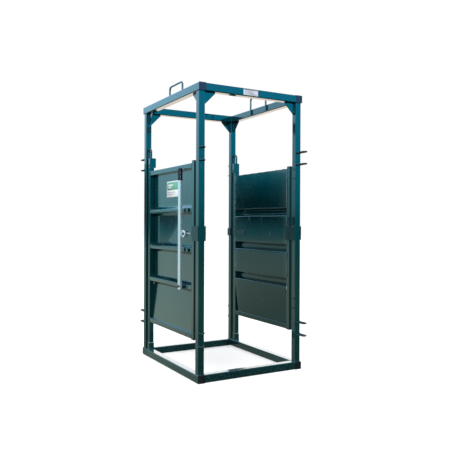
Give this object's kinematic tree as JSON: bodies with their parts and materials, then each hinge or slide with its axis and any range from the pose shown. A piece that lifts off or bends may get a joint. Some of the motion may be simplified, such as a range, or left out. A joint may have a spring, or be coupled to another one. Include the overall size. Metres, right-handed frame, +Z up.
{
  "type": "cattle handling cage",
  "caption": "Walk-through cattle cage: a square tube frame with a ribbed sheet door in each long side, each held by a lever-driven slide bolt.",
  "frame": {"origin": "on the floor, under the middle of the frame", "axes": "+Z up; the animal walks along Y; the doors are in the long sides at -X and +X, hinged at their +Y ends; X is across the animal's path"},
  "size_m": [0.994, 1.2918, 2.308],
  "materials": {
    "green_paint": "gloss",
    "galvanised_steel": "satin",
    "black_fastener": "satin",
    "blue_cap": "satin",
    "black_plastic": "matte",
    "printed_label": "gloss",
    "white_plate": "gloss"
  },
  "bodies": {
    "frame": {"side_rail_bottom_left": "green_paint", "side_rail_bottom_right": "green_paint", "side_rail_top_left": "green_paint", "side_rail_top_right": "green_paint", "cross_rail_bottom_front": "green_paint", "cross_rail_bottom_rear": "green_paint", "cross_rail_top_front": "green_paint", "cross_rail_top_rear": "green_paint", "post_front_left": "green_paint", "post_front_right": "green_paint", "post_rear_left": "green_paint", "post_rear_right": "green_paint", "end_caps_top": "blue_cap", "end_caps_bottom": "black_plastic", "corner_gussets": "green_paint", "lifting_loops": "green_paint", "coupling_loops_front_left": "green_paint", "coupling_loops_front_right": "green_paint", "coupling_loops_rear_left": "green_paint", "coupling_loops_rear_right": "green_paint", "crook_pins": "green_paint", "heel_sockets": "green_paint", "latch_boxes_post": "green_paint", "mid_plates": "green_paint", "maker_plate": "white_plate"},
    "left_door": {"hinge_stile_left": "green_paint", "latch_stile_left": "green_paint", "door_rails_left": "green_paint", "door_sheet_left": "green_paint", "hinge_box_left": "green_paint", "heel_pin_left": "galvanised_steel", "stile_caps_left": "black_plastic", "latch_plate_left": "green_paint", "latch_box_left": "green_paint", "bolt_guides_left": "green_paint", "rib_blocks_left": "green_paint", "lever_pivot_left": "black_fastener", "door_strap_left": "green_paint", "door_label": "printed_label"},
    "left_lever": {"lever_left": "galvanised_steel", "lever_grip_left": "black_plastic"},
    "left_bolt": {"slide_bolt_left": "galvanised_steel", "stop_disc_left": "galvanised_steel"},
    "right_door": {"hinge_stile_right": "green_paint", "latch_stile_right": "green_paint", "door_rails_right": "green_paint", "door_sheet_right": "green_paint", "hinge_box_right": "green_paint", "heel_pin_right": "galvanised_steel", "stile_caps_right": "black_plastic", "latch_plate_right": "green_paint", "latch_box_right": "green_paint", "bolt_guides_right": "green_paint", "rib_blocks_right": "green_paint", "lever_pivot_right": "black_fastener", "door_strap_right": "green_paint"},
    "right_lever": {"lever_right": "galvanised_steel", "lever_grip_right": "black_plastic"},
    "right_bolt": {"slide_bolt_right": "galvanised_steel", "stop_disc_right": "galvanised_steel"}
  },
  "joints": [
    {"name": "left_door_swing", "type": "hinge", "parent": "frame", "child": "left_door", "pos_m": [-0.435, 0.432, 0], "axis": [0, 0, -1], "range_deg": [0, 120]},
    {"name": "left_lever_pivot", "type": "hinge", "parent": "left_door", "child": "left_lever", "pos_m": [-0.48, -0.265, 0.686], "axis": [-1, 0, 0], "range_deg": [0, 9]},
    {"name": "left_bolt_slide", "type": "slide", "parent": "left_door", "child": "left_bolt", "axis": [0, 1, 0], "range_m": [0, 0.0636]},
    {"name": "right_door_swing", "type": "hinge", "parent": "frame", "child": "right_door", "pos_m": [0.435, 0.432, 0], "axis": [0, 0, 1], "range_deg": [0, 120]},
    {"name": "right_lever_pivot", "type": "hinge", "parent": "right_door", "child": "right_lever", "pos_m": [0.48, -0.265, 0.686], "axis": [-1, 0, 0], "range_deg": [0, 9]},
    {"name": "right_bolt_slide", "type": "slide", "parent": "right_door", "child": "right_bolt", "axis": [0, 1, 0], "range_m": [0, 0.0636]}
  ],
  "couplings": [
    {"joint": "left_bolt_slide", "follows": "left_lever_pivot", "m_per_rad": 0.40323},
    {"joint": "right_bolt_slide", "follows": "right_lever_pivot", "m_per_rad": 0.40323}
  ]
}
